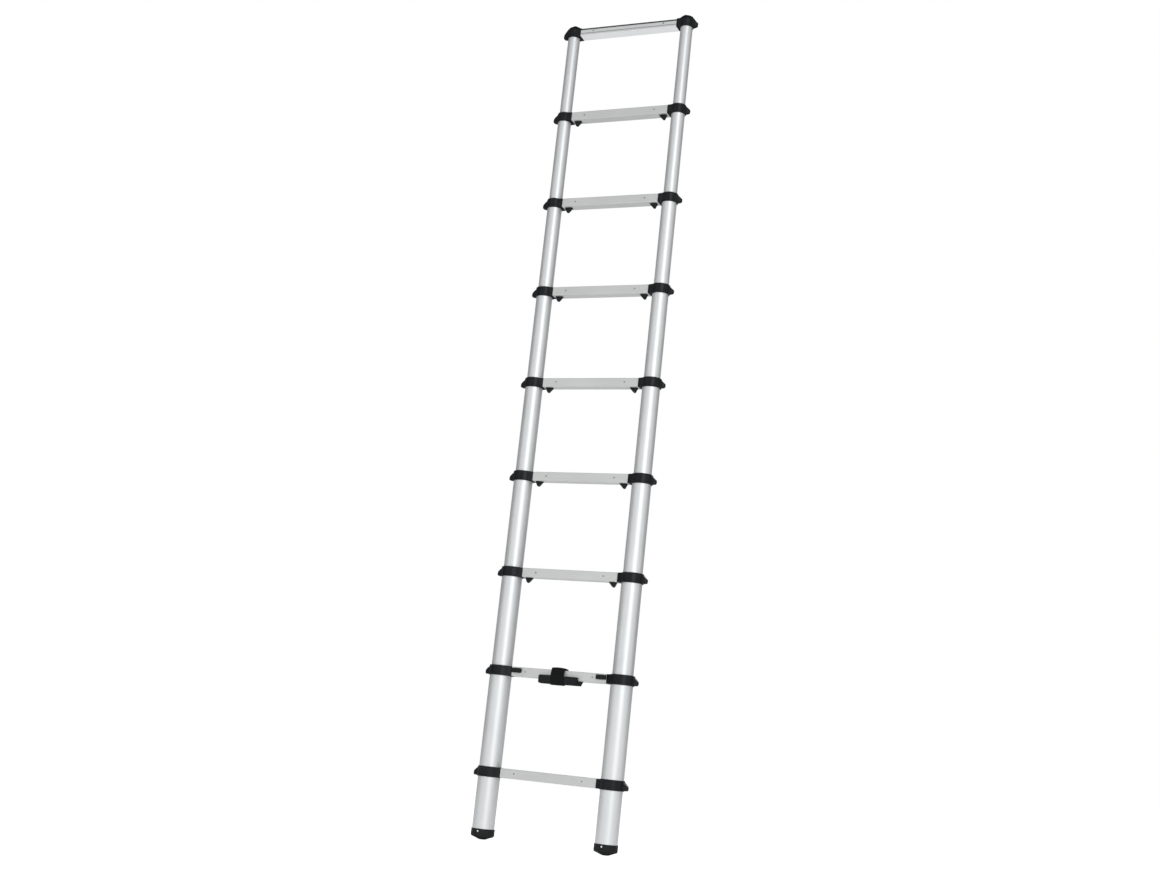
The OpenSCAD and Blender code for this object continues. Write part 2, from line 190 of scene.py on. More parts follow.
def piece(name, body, solids, material, covers=()):
    """Joins solids into one object that rides on a body, with a finish and smooth faces."""
    start = np.cumsum([0] + [len(points) for points, *_ in solids])
    points = np.concatenate([points for points, *_ in solids])
    fours = np.concatenate([faces + at for (_, faces, _, _), at in zip(solids, start)])
    threes = np.concatenate([caps + at for (_, _, caps, _), at in zip(solids, start)])
    mesh = bpy.data.meshes.new(name)
    mesh.from_pydata(points.tolist(), [], fours.tolist() + threes.tolist())
    uv = np.concatenate([uv.reshape(-1, 2) for *_, uv in solids] + [np.zeros((3 * len(threes), 2))])
    mesh.uv_layers.new(name="weave").uv.foreach_set("vector", uv.astype(np.float32).ravel())
    mesh.polygons.foreach_set("use_smooth", np.ones(len(mesh.polygons), bool))
    mesh.set_sharp_from_angle(angle=SHARP_ANGLE)
    mesh.materials.append(material)
    obj = bpy.data.objects.new(name, mesh)
    bpy.context.scene.collection.objects.link(obj)
    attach(obj, body)
    if covers:
        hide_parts(*covers)
    print(name, "rides on", body, "with", len(mesh.polygons), "faces")


def mirrored(rings):
    """The same rings on the other rail: X is measured back from the right rail's axis."""
    other = rings.copy()
    other[..., X] = RIGHT - rings[..., X]
    return other


def both_rails(rings, join_ends=False):
    """The same solid on the left rail and on the right one."""
    return [solid(rings, join_ends), solid(mirrored(rings), join_ends)]


def lathe(radii, heights, around=128):
    """Rings of a turned shape: a circle of each radius at each height, round the Z axis."""
    angle = np.linspace(0, TURN, around, endpoint=False)
    r, z = np.asarray(radii)[:, None], np.asarray(heights)[:, None]
    x, y = r * np.cos(angle), r * np.sin(angle)
    return np.stack([x, y, np.broadcast_to(z, x.shape)], -1)


def step(value, start, end):
    """Smooth step from 0 at start to 1 at end: 3t squared minus 2t cubed."""
    t = np.clip((value - start) / (end - start), 0, 1)
    return t * t * (3 - 2 * t)


_, faces, caps, _ = solid(lathe([1, 1], [0, 1]))
print("a turned cylinder closes with", len(faces), "quads and", len(caps), "triangles")

# %% [markdown]
# ## Shader maths as Python
#
# A finish is a sum of small numbers: a little noise on the roughness, a fine line on the bump.
# Written as nodes, that is a web of Math nodes. The first class below wraps one output socket, so
# that an expression such as `0.3 + 0.1 * grain` adds its Math nodes by itself. The second holds a
# node tree, of a material or of the world, and adds any other node: its kind, its settings and
# then a value or a link for each input. The third is a tree that ends in one Principled shader.

# %% A socket with operators, and node trees
class Signal:
    """A number, colour or shader that is worked out at each point."""

    def __init__(self, nodes, socket):
        self.nodes = nodes
        self.socket = socket

    def maths(self, operation, a, b):
        return self.nodes.node("ShaderNodeMath", {"operation": operation}, {0: a, 1: b})

    def __add__(self, other):
        return self.maths("ADD", self, other)

    def __sub__(self, other):
        return self.maths("SUBTRACT", self, other)

    def __rsub__(self, other):
        return self.maths("SUBTRACT", other, self)

    def __mul__(self, other):
        return self.maths("MULTIPLY", self, other)

    __radd__ = __add__
    __rmul__ = __mul__


class Nodes:
    """The node tree of a material or of the world, filled one call at a time."""

    def __init__(self, owner, empty=True):
        owner.use_nodes = True
        self.owner = owner
        self.tree = owner.node_tree
        if empty:
            self.tree.nodes.clear()

    def node(self, kind, settings=None, inputs=None, output=0):
        """Adds a node: its settings first, then the value or link of each named input."""
        node = self.tree.nodes.new(kind)
        for name, value in (settings or {}).items():
            setattr(node, name, value)
        for name, value in (inputs or {}).items():
            if isinstance(value, Signal):
                self.tree.links.new(value.socket, node.inputs[name])
            else:
                node.inputs[name].default_value = value
        return Signal(self, node.outputs[output] if len(node.outputs) else None)


class Finish(Nodes):
    """A material of one Principled shader, with nodes that vary some of its sockets."""

    def __init__(self, name, **surface):
        super().__init__(bpy.data.materials.new(name), empty=False)
        self.shader = self.tree.nodes["Principled BSDF"]
        for socket, value in surface.items():
            self.shader.inputs[socket.replace("_", " ")].default_value = value
        self.place = self.node("ShaderNodeTexCoord", output="Object")

    def stretched(self, x, y, z):
        """The place on the object, in metres, times its own number along each axis."""
        return self.node("ShaderNodeVectorMath", {"operation": "MULTIPLY"},
                         {0: self.place, 1: (x, y, z)})

    def noise(self, place, scale=1.0, detail=2.0):
        """Noise from 0 to 1, mostly near a half."""
        return self.node("ShaderNodeTexNoise", {},
                         {"Vector": place, "Scale": scale, "Detail": detail}, output="Fac")

    def mix(self, amount, first, second):
        """Blends two colours by an amount from 0 to 1."""
        return self.node("ShaderNodeMix", {"data_type": "RGBA"},
                         {"Factor": amount, 6: first, 7: second}, output=2)

    def ramp(self, signal, start, end):
        """Stretches a signal so that start becomes 0 and end becomes 1, and clips it."""
        return self.node("ShaderNodeMapRange", {},
                         {"Value": signal, "From Min": start, "From Max": end})

    def bump(self, height, distance, strength):
        """Turns a height into a tilt of the surface, at a real distance in metres."""
        return self.node("ShaderNodeBump", {},
                         {"Height": height, "Distance": distance, "Strength": strength})

    def wear(self, **sockets):
        """Feeds the shader's sockets and hands over the material."""
        for name, value in sockets.items():
            self.tree.links.new(value.socket, self.shader.inputs[name.replace("_", " ")])
        print("finish", self.owner.name, "has", len(self.tree.nodes), "nodes")
        return self.owner


print("Signals turn +, - and * into Math nodes")

# %% [markdown]
# ## Satin anodised aluminium
#
# The tubes are drawn through a die, which leaves very fine lines along their length, and then
# anodised, which makes the metal matt and a little blue. A noise that is stretched over two
# hundred times along Z gives the lines. A large noise clouds the roughness, as hands and sliding
# collars do. The rungs come from another die, so theirs run along X. The top rung is the one that
# hands and the van's roof rub: it is shinier. Its colour has two stripes, told apart by their
# height: a painted dark reflection along its upper edge, and a thin darker line along its front.

# %% Aluminium finishes
TUBE_COLOUR = (0.63, 0.645, 0.645, 1)
TUBE_DULL = (0.575, 0.59, 0.595, 1)
RUNG_COLOUR = (0.56, 0.57, 0.56, 1)
RUNG_DULL = (0.505, 0.515, 0.505, 1)
# Colour of a thin darker line along the top rung's front, 7.5 mm above its bottom.
DARK_FRONT_LINE = (0.34, 0.345, 0.34, 1)
# Painted dark reflection: the colour of the stripe along the top rung's upper edge.
PAINTED_EDGE_REFLECTION = (0.16, 0.16, 0.16, 1)
LINE_UP = 7.5 * MM
EDGE_DOWN = 7.4 * MM
STRIPE_FADE = 1.5 * MM
LINES_ACROSS = 1400.0
LINES_ALONG = 6.0
CLOUD_SCALE = 9.0
PIT_SCALE = 2600.0
LINE_DEPTH = 0.02 * MM


def aluminium(name, colour, dull, along, metallic, roughness, depth=0.35, stripes=()):
    """Anodised metal with drawing lines along one axis, darker in stripes round given heights."""
    finish = Finish(name, Metallic=metallic)
    scale = [LINES_ACROSS] * 3
    scale[along] = LINES_ALONG
    lines = finish.noise(finish.stretched(*scale), detail=1.0)
    clouds = finish.noise(finish.place, scale=CLOUD_SCALE, detail=4.0)
    pits = finish.noise(finish.place, scale=PIT_SCALE, detail=1.0)
    colour_mix = finish.mix(finish.ramp(lines * 0.5 + clouds * 0.5, 0.35, 0.65), dull, colour)
    height = lines * 0.7 + pits * 0.3
    for z, half, shade in stripes:
        up = finish.node("ShaderNodeSeparateXYZ", {}, {0: finish.place}, output="Z")
        away = finish.node("ShaderNodeMath", {"operation": "ABSOLUTE"}, {0: up - z})
        colour_mix = finish.mix(finish.ramp(away, half, half + STRIPE_FADE), shade, colour_mix)
    return finish.wear(
        Base_Color=colour_mix,
        Roughness=roughness + 0.10 * clouds + 0.08 * lines,
        Normal=finish.bump(height, LINE_DEPTH, depth),
    )


tube_metal = aluminium("satin_tube", TUBE_COLOUR, TUBE_DULL, Z, 0.55, 0.36)
rung_metal = aluminium("satin_rung", RUNG_COLOUR, RUNG_DULL, X, 0.30, 0.42)
# The stripe at the top rung's upper edge is a painted dark reflection, not wear.
TOP_STRIPES = [
    (low("rung_9", Z) + LINE_UP, 0.7 * MM, DARK_FRONT_LINE),
    (high("rung_9", Z), EDGE_DOWN, PAINTED_EDGE_REFLECTION),
]
top_rung_metal = aluminium("bright_top_rung", TUBE_COLOUR, TUBE_DULL, X, 0.85, 0.20,
                           depth=0.1, stripes=TOP_STRIPES)

# %% [markdown]
# ## Black plastic and rubber
#
# Both are nearly black, so what tells them apart is how they shine. The collars are glass-filled
# nylon from a spark-eroded mould: a fine grain over a soft sheen. The feet are rubber, duller and
# dusty in the hollows of a coarser grain. Undersides are rougher, or else they would mirror the
# white floor, because a flat face that is seen almost edge-on mirrors nearly all light.

# %% Moulded finishes
PATCH_SCALE = 35.0
TILT_START, TILT_END = -0.4, -0.9
ROUGHER_BELOW = 0.45


def moulded(name, colour, dusty, grain, roughness, depth):
    """Dark moulding with an even grain and a breath of dust, rougher where it faces down."""
    finish = Finish(name, Specular_IOR_Level=0.15)
    bumps = finish.noise(finish.place, scale=grain, detail=3.0)
    patches = finish.noise(finish.place, scale=PATCH_SCALE, detail=3.0)
    dust = finish.ramp(patches, 0.45, 0.75) * (1 - bumps)
    facing = finish.node("ShaderNodeTexCoord", output="Normal")
    upwards = finish.node("ShaderNodeSeparateXYZ", {}, {0: facing}, output="Z")
    below = ROUGHER_BELOW * finish.ramp(upwards, TILT_START, TILT_END)
    return finish.wear(
        Base_Color=finish.mix(dust, colour, dusty),
        Roughness=roughness + 0.14 * bumps + 0.10 * patches + below,
        Normal=finish.bump(bumps, depth, 0.5),
    )


NYLON, NYLON_DUST = (0.006, 0.007, 0.008, 1), (0.016, 0.017, 0.018, 1)
RUBBER, RUBBER_DUST = (0.009, 0.010, 0.011, 1), (0.024, 0.024, 0.023, 1)
black_plastic = moulded("black_nylon", NYLON, NYLON_DUST, 1500.0, 0.22, 0.06 * MM)
black_rubber = moulded("black_rubber", RUBBER, RUBBER_DUST, 900.0, 0.48, 0.12 * MM)

# %% [markdown]
# ## Webbing
#
# The carrying strap is woven polyester: ribs run across it about every three millimetres, and
# threads along it about every millimetre and a half. The weave follows the strap round its folds,
# so it reads a UV map and not the place in space. The band that holds the strap is hook-and-loop
# tape, whose fuzz is a noise instead of a weave.

# %% Woven finishes
RIB_SCALE = 105.0
THREAD_SCALE = 190.0
FUZZ_SCALE = 1800.0
WEAVE_DEPTH = 0.3 * MM
LOOP_SCALE = 2200.0
TUFT_SCALE = 420.0
LOOP_DEPTH = 0.4 * MM


def webbing(name, colour, worn):
    """Ribs across the strap and threads along it, from the piece's own UV map in metres."""
    finish = Finish(name, Specular_IOR_Level=0.08)
    place = finish.node("ShaderNodeUVMap", {"uv_map": "weave"})
    rib = finish.node("ShaderNodeTexWave", {"bands_direction": "X"},
                      {"Vector": place, "Scale": RIB_SCALE, "Distortion": 0.0}, output="Fac")
    thread = finish.node("ShaderNodeTexWave", {"bands_direction": "Y"},
                         {"Vector": place, "Scale": THREAD_SCALE, "Distortion": 0.6}, output="Fac")
    fuzz = finish.noise(finish.place, scale=FUZZ_SCALE)
    height = rib * 0.6 + thread * 0.4
    return finish.wear(
        Base_Color=finish.mix(height * 0.6 + fuzz * 0.3, colour, worn),
        Roughness=0.72 + 0.15 * fuzz,
        Normal=finish.bump(height + fuzz * 0.3, WEAVE_DEPTH, 0.7),
    )


def hook_and_loop(name, colour, worn):
    """Short loops that stand up from a knitted tape."""
    finish = Finish(name, Specular_IOR_Level=0.05)
    loops = finish.noise(finish.place, scale=LOOP_SCALE, detail=4.0)
    tufts = finish.noise(finish.place, scale=TUFT_SCALE)
    height = loops * 0.6 + tufts * 0.4
    return finish.wear(
        Base_Color=finish.mix(finish.ramp(height, 0.4, 0.7), colour, worn),
        Roughness=0.80 + 0.10 * tufts,
        Normal=finish.bump(height, LOOP_DEPTH, 0.8),
    )


strap_cloth = webbing("strap_webbing", (0.008, 0.009, 0.010, 1), (0.026, 0.028, 0.030, 1))
band_cloth = hook_and_loop("band_loops", (0.006, 0.007, 0.0068, 1), (0.016, 0.018, 0.017, 1))

# %% [markdown]
# ## Steel
#
# Two small turned parts are steel: the pin heads on the rungs are dull and dark, and the rivets on
# the feet are bright. A noise drawn out along the head's own axis stands for wear and tool marks.

# %% Steel finishes
def rivet_metal(name, dark, bright, roughness):
    """Plain steel with a little wear."""
    finish = Finish(name, Metallic=1.0)
    marks = finish.noise(finish.stretched(900.0, 60.0, 900.0))
    return finish.wear(
        Base_Color=finish.mix(marks, dark, bright),
        Roughness=roughness + 0.15 * marks,
    )


bright_steel = rivet_metal("bright_steel", (0.55, 0.56, 0.56, 1), (0.85, 0.86, 0.86, 1), 0.25)
dull_steel = rivet_metal("dull_steel", (0.20, 0.20, 0.20, 1), (0.30, 0.30, 0.30, 1), 0.45)

# %% [markdown]
# ## The tubes
#
# A tube is a rectangle turned round an axis. The profile below goes up the outside, over a
# slightly rounded end, down the inside and back, and the last ring joins the first. Both rails
# are one piece, because they always move together.

# %% Tubes
END_ROUND = 0.4 * MM


def tube(section):
    """Profile of a tube's wall, turned: outside up, inside down, with rounded ends."""
    node = f"tubes_{section}"
    outer, bottom, top = TUBE_R[section], low(node, Z), high(node, Z)
    inner = outer - TUBE_WALL
    outside, inside = outer - END_ROUND, inner + END_ROUND
    lower, upper = bottom + END_ROUND, top - END_ROUND
    r = [outside, outer, outer, outside, inside, inner, inner, inside]
    z = [bottom, lower, upper, top, top, upper, lower, bottom]
    return lathe(r, z)


for s in SECTIONS:
    rings = tube(s)
    piece(f"tube_pair_{s}", body_of(s), both_rails(rings, True),
          tube_metal, [f"tubes_{s}"])

# %% [markdown]
# ## The rungs
#
# The engineering model's rungs are right as they are: hollow, grooved on the tread, with a window
# for each trigger. They only need the metal. A small dark spot near each end, on the front, shows
# where a pin holds the collar's spigot inside, so each is added as a low domed head.

# %% Rungs and their pins
for k in RUNGS:
    metal = top_rung_metal if k == 9 else rung_metal
    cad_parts[f"rung_{k}"].material_slots[0].material = metal

DOME_END = math.pi / 2 * 0.98
PIN_FROM_END = 43 * MM
PIN_UP = 1 * MM
PIN_R = 2.6 * MM
PIN_RISE = 0.5 * MM
PIN_SINK = 0.3 * MM


def turned_to_front(rings, x, y, z):
    """A shape turned about Z laid over so that its axis points to the front, at a place."""
    return np.stack([rings[..., 0] + x, y - rings[..., 2], rings[..., 1] + z], -1)


def dome_head(place, radius, sink, rim, rise, steps, around):
    """Domed head at the front: its radius follows a cosine and its height a sine."""
    bend = np.linspace(0, DOME_END, steps)
    radii = np.concatenate([[radius], radius * np.cos(bend)])
    heights = np.concatenate([[-sink], rim + rise * np.sin(bend)])
    return solid(turned_to_front(lathe(radii, heights, around), *place))


for k in RUNGS:
    ends = (low(f"rung_{k}", X) + PIN_FROM_END, high(f"rung_{k}", X) - PIN_FROM_END)
    places = [(x, -RUNG_D / 2, RUNG_Z[k] + PIN_UP) for x in ends]
    heads = [dome_head(place, PIN_R, PIN_SINK, 0, PIN_RISE, 8, 24) for place in places]
    piece(f"rung_pins_{k}", body_of(section_of(k)), heads, dull_steel)

# %% [markdown]
# ## The collars
#
# Seen from above, a collar is a ring with a block towards the rung and an ear on the other side.
# Every point of that outline can be seen from the tube's axis, so it is one function: the distance
# from the axis at each angle, which is the largest of the three shapes' own distances. The top is
# a height at each place: full on the ring, a little lower on the block, and sloping on the ear.

# %% Outline of a collar
AROUND = 288
THETA = np.linspace(0, TURN, AROUND, endpoint=False)
EAR_REACH = -low("collars_1", X) - TUBE_R[1]
EAR_NOSE = 8 * MM
EAR_TIP = 6.5 * MM
EAR_DROP = 5.8 * MM
EAR_FLARE = 4 * MM
BLOCK_REACH = low("rung_1", X) - TUBE_R[1]
SOFTEN = 1.6


def distance_of(points):
    """Distance from the axis to an outline through points, at each angle; 0 where it has none."""
    dense = np.concatenate([np.linspace(a, b, 60) for a, b in zip(points[:-1], points[1:])])
    angle = np.unwrap(np.arctan2(dense[:, 1], dense[:, 0]))
    order = np.argsort(angle)
    angle, radius = angle[order], np.hypot(*dense[order].T)
    turns = np.floor((THETA - angle[0]) / TURN) * TURN
    return np.interp(THETA - turns, angle, radius, left=0, right=0)


def touch(p, c, r, turn):
    """The point where a line from p touches a circle of radius r round c."""
    away = np.subtract(p, c)
    angle = math.atan2(away[1], away[0]) + turn * math.acos(r / np.hypot(*away))
    return np.add(c, [r * math.cos(angle), r * math.sin(angle)])


def round_nose(a, b, c, r, count=25):
    """Outline from a to b round the left of a circle: two lines that touch it and an arc."""
    start, end = touch(a, c, r, 1) - c, touch(b, c, r, -1) - c
    first, last = math.atan2(*start[::-1]), math.atan2(*end[::-1]) + TURN
    angle = np.linspace(first, last, count)
    bend = np.stack([c[0] + r * np.cos(angle), c[1] + r * np.sin(angle)], 1)
    return np.concatenate([[a], bend, [b]])


def soften(values, width):
    """Circular running mean with a bell-shaped weight, width in points."""
    reach = np.arange(AROUND)
    reach = np.minimum(reach, AROUND - reach)
    bell = np.exp(-0.5 * (reach / width) ** 2)
    return np.fft.irfft(np.fft.rfft(values) * np.fft.rfft(bell / bell.sum()), AROUND)


def outline(tube_r):
    """Distance from the axis to the collar's side at every angle."""
    ring = tube_r + RING_WALL
    corner = np.array([tube_r + BLOCK_REACH, BLOCK_HALF])
    side = touch(corner, (0, 0), tube_r + RING_WALL / 2, 1)
    flip = np.array([1, -1])
    block = distance_of(np.array([side * flip, corner * flip, corner, side]))
    nose = np.array([-(tube_r + EAR_REACH - EAR_NOSE), 0.0])
    root = np.array([-tube_r / 2, EAR_NOSE + EAR_FLARE])
    ear = distance_of(round_nose(root, root * flip, nose, EAR_NOSE))
    edge = np.maximum(np.maximum(block, ear), ring)
    return np.minimum(soften(edge, SOFTEN), edge)


print("ear and block reach", round(EAR_REACH / MM, 1), "and", round(BLOCK_REACH / MM, 1), "mm")

# %% [markdown]
# The section through a collar is a closed loop: out along the bottom, up the side, in along the
# top and down the bore. The side has a rim above and below, and a slightly sunk waist between.
# Edges are rounded by taking the height off near the outline, along a quarter circle. From the
# front the ear is a nose that slopes down from the ring to a round tip.

# %% Collars
EDGE_ROUND = 1.4 * MM
WAIST = 0.45 * MM
UPPER_RIM = 3.6 * MM
LOWER_RIM = 5.0 * MM
RIM_FADE = 0.7 * MM
BLUNT = 0.6 * MM
BLOCK_DROP = 1.0 * MM
OUTWARDS = np.sin(np.linspace(0, math.pi / 2, 20))
UPWARDS = np.linspace(0, 1, 61)[1:-1, None]


def rounding(distance, height):
    """How far an edge drops near the outline: a quarter circle, less where it is thin."""
    size = np.minimum(EDGE_ROUND, 0.45 * height)
    t = np.clip(1 - distance / size, 0, 1)
    return size * (1 - np.sqrt(np.clip(1 - t * t, 0, 1)))


def ear_heights(x, tube_r, root_top):
    """Top and bottom of the ear at each x, read off its outline seen from the front."""
    tip = np.array([-(tube_r + EAR_REACH - EAR_TIP + BLUNT), -EAR_DROP])
    root_low = np.array([-tube_r, EDGE_ROUND - COLLAR_H / 2])
    line = round_nose(np.array([-tube_r, root_top]), root_low, tip, EAR_TIP, 81)
    turn = line[:, 0].argmin()
    top = np.interp(x, line[:turn + 1][::-1, 0], line[:turn + 1][::-1, 1])
    return top, np.interp(x, line[turn:, 0], line[turn:, 1])


def collar_faces(x, y, tube_r):
    """Heights of the top and bottom faces, blended over the ring's corner."""
    past_ring = step(np.hypot(x, y), tube_r + RING_WALL - 1.0 * MM, tube_r + RING_WALL + 0.6 * MM)
    ear_top, ear_bottom = ear_heights(x, tube_r, COLLAR_H / 2 - EDGE_ROUND)
    block = COLLAR_H / 2 - BLOCK_DROP
    top = COLLAR_H / 2 + (np.where(x > 0, block, ear_top) - COLLAR_H / 2) * past_ring
    bottom = COLLAR_H / 2 + (np.where(x > 0, block, -ear_bottom) - COLLAR_H / 2) * past_ring
    return top, -bottom


def face(edge, bore, tube_r, side):
    """Rings of the top (side 1) or bottom (side 0) face, from the bore out to the outline."""
    radius = bore + (edge - bore) * OUTWARDS[:, None]
    x, y = radius * np.cos(THETA), radius * np.sin(THETA)
    top, bottom = collar_faces(x, y, tube_r)
    drop = rounding(edge - radius, top - bottom)
    return np.stack([x, y, top - drop if side else bottom + drop], -1)


def side_wall(edge, top, bottom, tube_r):
    """Rings up the side, sunk between the two rims wherever the side is the ring's own."""
    z = bottom[..., 2] + (top[..., 2] - bottom[..., 2]) * UPWARDS
    on_ring = 1 - step(edge, tube_r + RING_WALL + 0.2 * MM, tube_r + RING_WALL + 2.5 * MM)
    sunk = step(z + COLLAR_H / 2, LOWER_RIM, LOWER_RIM + RIM_FADE)
    sunk = sunk * step(COLLAR_H / 2 - z, UPPER_RIM, UPPER_RIM + RIM_FADE)
    radius = edge - WAIST * sunk * on_ring
    return np.stack([radius * np.cos(THETA), radius * np.sin(THETA), z], -1)


def collar(tube_r, bore, z):
    """A whole collar: bottom face outwards, side upwards and top face inwards."""
    edge = outline(tube_r)
    top = face(edge, bore, tube_r, 1)
    bottom = face(edge, tube_r + BORE_GAP, tube_r, 0)
    rings = np.concatenate([bottom, side_wall(edge, top[-1], bottom[-1], tube_r), top[::-1]])
    return rings + [0, 0, z]


for k in list(RUNGS)[:-1]:
    tube_r = TUBE_R[section_of(k)]
    bore = tube_r + BORE_GAP if k == 1 else tube_r - TUBE_WALL
    rings = collar(tube_r, bore, RUNG_Z[k])
    piece(f"collar_pair_{k}", body_of(section_of(k)), both_rails(rings, True),
          black_plastic, [f"collars_{k}"])

# %% [markdown]
# ## The top caps
#
# The top pair has the same outline, but nothing slides through it, so a dome closes it. The
# dome's height is that of a quarter ellipse. Two ridges run down from it, one along the ear and
# one along the block to the rung. Each is the higher of the dome and a sloping line, inside a
# strip whose sides fade out.

# %% Top caps
SHOULDER = COLLAR_H / 2 - RING_WALL
DOME_TOP = high("top_caps", Z) - RUNG_Z[9]
BLOCK_END_TOP = COLLAR_H / 2 + 1.0 * MM
BLOCK_RIDGE = 8 * MM
BLOCK_RIDGE_ROOT = 0.25
EAR_RIDGE_ROOT = -0.3
LID = 3 * MM
POLE = 0.004


def cap_height(x, y, tube_r):
    """The dome, with one ridge along the ear and one along the block."""
    ring = tube_r + RING_WALL
    radius = np.hypot(x, y)
    dome = SHOULDER + (DOME_TOP - SHOULDER) * np.sqrt(np.clip(1 - (radius / ring) ** 2, 0, 1))
    root = SHOULDER + (DOME_TOP - SHOULDER) * math.sqrt(1 - (tube_r / ring) ** 2)
    ear_top, _ = ear_heights(np.minimum(x, -tube_r), tube_r, root)
    end = tube_r + BLOCK_REACH
    climb = np.clip((end - x) / (end - BLOCK_RIDGE_ROOT * ring), 0, 1)
    slope = BLOCK_END_TOP + (DOME_TOP - BLOCK_END_TOP) * climb
    flat = np.where(radius < ring, dome, COLLAR_H / 2 - BLOCK_DROP)
    outer = np.maximum(flat * (radius < ring), ear_top)
    inner = np.maximum(flat, slope)
    ear_strip = (1 - step(abs(y), EAR_NOSE, EAR_NOSE + EAR_FLARE)) * (x < EAR_RIDGE_ROOT * ring)
    ear_strip = np.where((x < 0) & (radius > ring), 1, ear_strip)
    block_strip = (1 - step(abs(y), BLOCK_RIDGE, BLOCK_HALF - 1 * MM)) * (x > 0)
    return flat + (outer - flat) * ear_strip + (inner - flat) * block_strip


def top_cap(tube_r, z):
    """Bore upwards, bottom face outwards, side upwards and the dome inwards."""
    edge = outline(tube_r)
    bore = tube_r + BORE_GAP
    bottom = face(edge, bore, tube_r, 0)
    radius = edge * np.concatenate([[POLE], OUTWARDS[1:]])[::-1, None]
    x, y = radius * np.cos(THETA), radius * np.sin(THETA)
    height = cap_height(x, y, tube_r)
    low_z = np.broadcast_to(bottom[-1, :, 2], height.shape)
    top = np.stack([x, y, height - rounding(edge - radius, height - low_z)], -1)
    inside = lathe([bore, bore], [COLLAR_H / 2 - LID, -COLLAR_H / 2 + 1 * MM], AROUND)
    rings = np.concatenate([inside, bottom, side_wall(edge, top[0], bottom[-1], tube_r), top])
    return rings + [0, 0, z]


rings = top_cap(TUBE_R[8], RUNG_Z[9])
piece("top_cap_pair", body_of(section_of(9)), both_rails(rings),
      black_plastic, ["top_caps"])

# %% [markdown]
# ## Triggers and release slides
#
# A section that comes down presses its triggers on the rung below, which lets the next section go.
# Seen from any side a trigger is a wedge with soft corners, so its level sections are
# superellipses: the curve where x and y, each over its half width and raised to a power near four,
# add up to one. The release slides are bars along the rung with the same kind of section, and a
# few raised ribs for a thumb.

# %% Superellipse sections
def superellipse(half_a, half_b, power, count=64):
    """Points of the curve |a|^p + |b|^p = 1, stretched to two half widths."""
    angle = np.linspace(0, TURN, count, endpoint=False)
    c, s = np.cos(angle), np.sin(angle)
    half_a, half_b = np.asarray(half_a)[..., None], np.asarray(half_b)[..., None]
    a = half_a * np.sign(c) * abs(c) ** (2 / power)
    b = half_b * np.sign(s) * abs(s) ** (2 / power)
    return a, b


TIP_R = 4 * MM
TIP_X = -2.5 * MM
TRIGGER_HALF = 12 * MM
TRIGGER_DEEP = 7 * MM
TRIGGER_POWER = 3.6
TRIGGER_OFFSET = 27 * MM
SHOULDER_DROP = 1.5 * MM
INTO_RUNG = 2 * MM


def trigger(rung):
    """Wedge from inside the rung to a round tip: its two sides are lines that touch the tip."""
    node = f"triggers_{rung}"
    floor = RUNG_Z[rung] - RUNG_H / 2
    drop = floor - low(node, Z)
    centre = np.array([TIP_X, TIP_R - drop])
    bend = np.linspace(0, math.pi / 2, 24)
    sides = []
    for side, turn in ((-1, 1), (1, -1)):
        corner = np.array([side * TRIGGER_HALF, -SHOULDER_DROP])
        meets = touch(corner, centre, TIP_R, turn)
        angle = np.linspace(math.atan2(*(meets - centre)[::-1]) % TURN, 1.5 * math.pi, 24)
        curve = centre + TIP_R * np.stack([np.cos(angle), np.sin(angle)], 1)
        sides.append(np.concatenate([[[corner[0], INTO_RUNG]], [corner], curve]))
    z = np.concatenate([[0.8 * INTO_RUNG], -drop * np.sin(bend) ** 0.8 * 0.999])
    left, right = (np.interp(z, side[::-1, 1], side[::-1, 0]) for side in sides)
    slimmer = np.minimum(1, (right - left) / (2 * TIP_R)) ** 0.5
    a, b = superellipse((right - left) / 2, TRIGGER_DEEP * slimmer, TRIGGER_POWER)
    x = TUBE_R[section_of(rung)] + TRIGGER_OFFSET + (left + right)[:, None] / 2 + a
    return np.stack([x, middle(node, Y) + b, np.broadcast_to((floor + z)[:, None], a.shape)], -1)


for k in range(3, 9):
    rings = trigger(k)
    piece(f"trigger_pair_{k}", f"trigger_{k}", both_rails(rings),
          black_plastic, [f"triggers_{k}"])


SLIDE_POWER = 4.5
SLIDE_CLEAR = 0.3 * MM
SLIDE_TIP = 0.07
THUMB_RIBS = 6


def release_slide():
    """Bar along the rung: lower at the collar, fuller at the thumb end, with raised ribs."""
    node = "release_slide_left"
    start, end = low(node, X), high(node, X)
    front, back = low(node, Y), -RUNG_D / 2 - SLIDE_CLEAR
    t = np.linspace(0, 1, 90)
    near_end = np.clip(1 - (1 - t) / SLIDE_TIP, 0, 0.99)
    tips = np.sqrt(1 - near_end ** 2)
    thumb = step(t, 0.28, 0.38)
    ribs = np.clip(np.cos(TURN * THUMB_RIBS * (t - 0.5)), 0, 1)
    ribs = ribs * step(t, 0.42, 0.5) * (1 - step(t, 0.86, 0.94))
    half_h = (high(node, Z) - low(node, Z)) / 2 * (0.97 + 0.03 * thumb) * tips
    depth = (back - front) * (0.84 + 0.06 * thumb + 0.10 * ribs) * tips
    a, b = superellipse(depth / 2, half_h, SLIDE_POWER)
    x = np.broadcast_to((start + (end - start) * t)[:, None], a.shape)
    return np.stack([x, back - depth[:, None] / 2 + a, middle(node, Z) + b], -1)


rings = release_slide()
for side, shape in (("left", rings), ("right", mirrored(rings))):
    piece(f"slide_pad_{side}", f"release_{side}", [solid(shape)],
          black_plastic, [f"release_slide_{side}"])

# %% [markdown]
# ## The feet
#
# Each foot is a rubber cup with a sole that rises from its middle, so the ladder also grips when
# it leans. It is turned like the tubes, and then the sole gets straight grooves: its height is
# raised wherever the place across the ladder falls in a groove. Low ribs run round the side just
# above the sole, and a bright rivet holds the cup on the tube.

